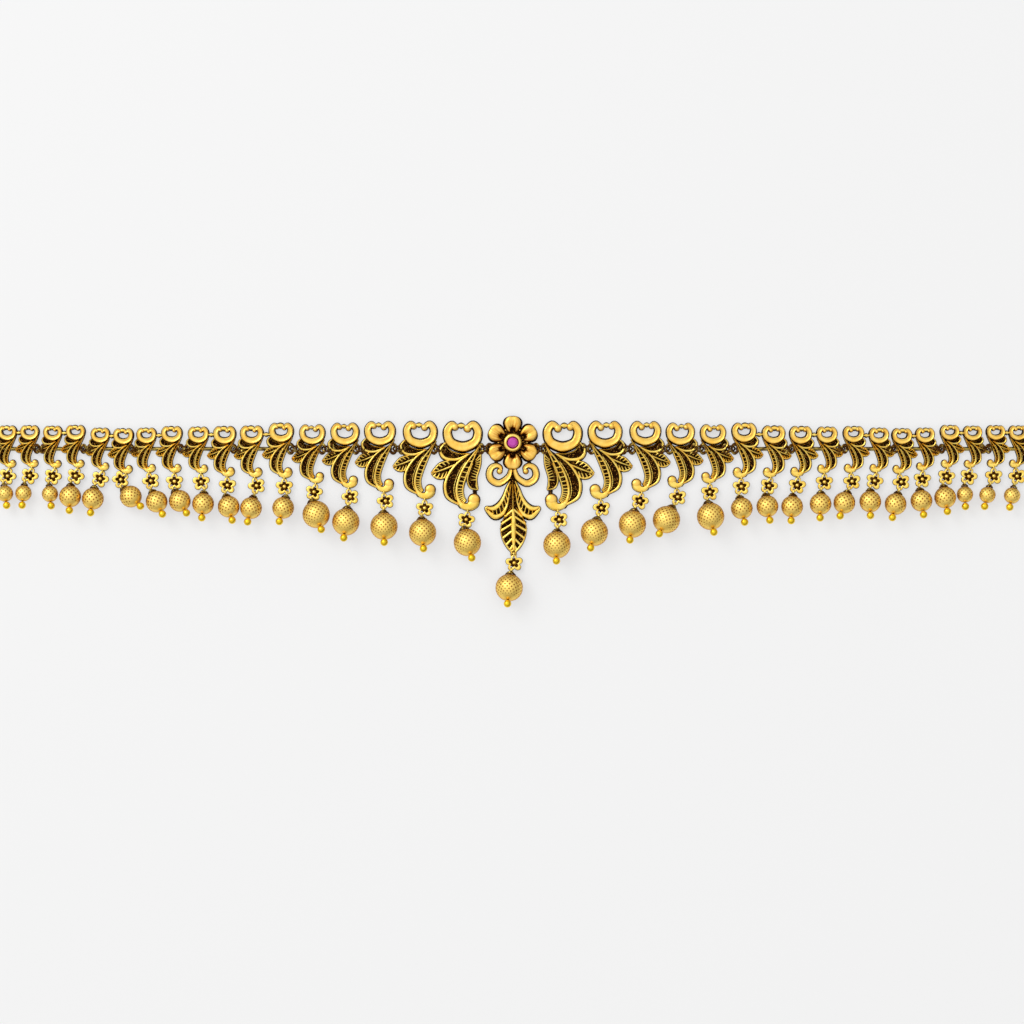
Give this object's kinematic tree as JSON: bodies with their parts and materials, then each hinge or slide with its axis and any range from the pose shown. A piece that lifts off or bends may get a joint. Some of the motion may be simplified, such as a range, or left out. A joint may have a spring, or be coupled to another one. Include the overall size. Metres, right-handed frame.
{
  "type": "waist belt",
  "caption": "Jewelled waist belt of cast openwork plates joined by rings, with flower and bead drops and a plain ring chain, hook and ring to close it.",
  "frame": {"origin": "on the flat back of the centre plaque, straight under the stone, on the surface the belt lies on", "axes": "+X along the belt toward the right-hand end as seen from the front, +Y up the plaque, away from the drops, +Z out of the plaques' faces, away from the surface"},
  "size_m": [0.7656, 0.0696, 0.01],
  "materials": {
    "antique_gold": "antique",
    "bead_gold": "textured",
    "pin_gold": "polished",
    "dark_wire": "antique",
    "pink_stone": "faceted"
  },
  "bodies": {
    "root": {"centre_plaque": "antique_gold", "centre_stone": "pink_stone", "centre_bead": "bead_gold", "link_left_1": "antique_gold", "link_left_2": "antique_gold", "link_left_3": "antique_gold", "link_left_4": "antique_gold", "link_left_5": "antique_gold", "pair_left_1": "antique_gold", "pair_left_2": "antique_gold", "pair_left_3": "antique_gold", "pair_left_4": "antique_gold", "pair_left_5": "antique_gold", "pair_left_6": "antique_gold", "link_right_1": "antique_gold", "link_right_2": "antique_gold", "link_right_3": "antique_gold", "link_right_4": "antique_gold", "link_right_5": "antique_gold", "pair_right_1": "antique_gold", "pair_right_2": "antique_gold", "pair_right_3": "antique_gold", "pair_right_4": "antique_gold", "pair_right_5": "antique_gold", "pair_right_6": "antique_gold", "bead_left_1": "bead_gold", "bead_left_2": "bead_gold", "bead_left_3": "bead_gold", "bead_left_4": "bead_gold", "bead_left_5": "bead_gold", "bead_pair_left_1": "bead_gold", "bead_pair_left_2": "bead_gold", "bead_pair_left_3": "bead_gold", "bead_pair_left_4": "bead_gold", "bead_pair_left_5": "bead_gold", "bead_pair_left_6": "bead_gold", "bead_right_1": "bead_gold", "bead_right_2": "bead_gold", "bead_right_3": "bead_gold", "bead_right_4": "bead_gold", "bead_right_5": "bead_gold", "bead_pair_right_1": "bead_gold", "bead_pair_right_2": "bead_gold", "bead_pair_right_3": "bead_gold", "bead_pair_right_4": "bead_gold", "bead_pair_right_5": "bead_gold", "bead_pair_right_6": "bead_gold", "drop_pins_left": "pin_gold", "drop_flowers_left": "antique_gold", "drop_rings_left": "dark_wire", "plate_rings_left": "dark_wire", "chain_left": "dark_wire", "drop_pins_right": "pin_gold", "drop_flowers_right": "antique_gold", "drop_rings_right": "dark_wire", "plate_rings_right": "dark_wire", "chain_right": "dark_wire", "hook": "dark_wire", "end_ring": "dark_wire"}
  },
  "joints": []
}
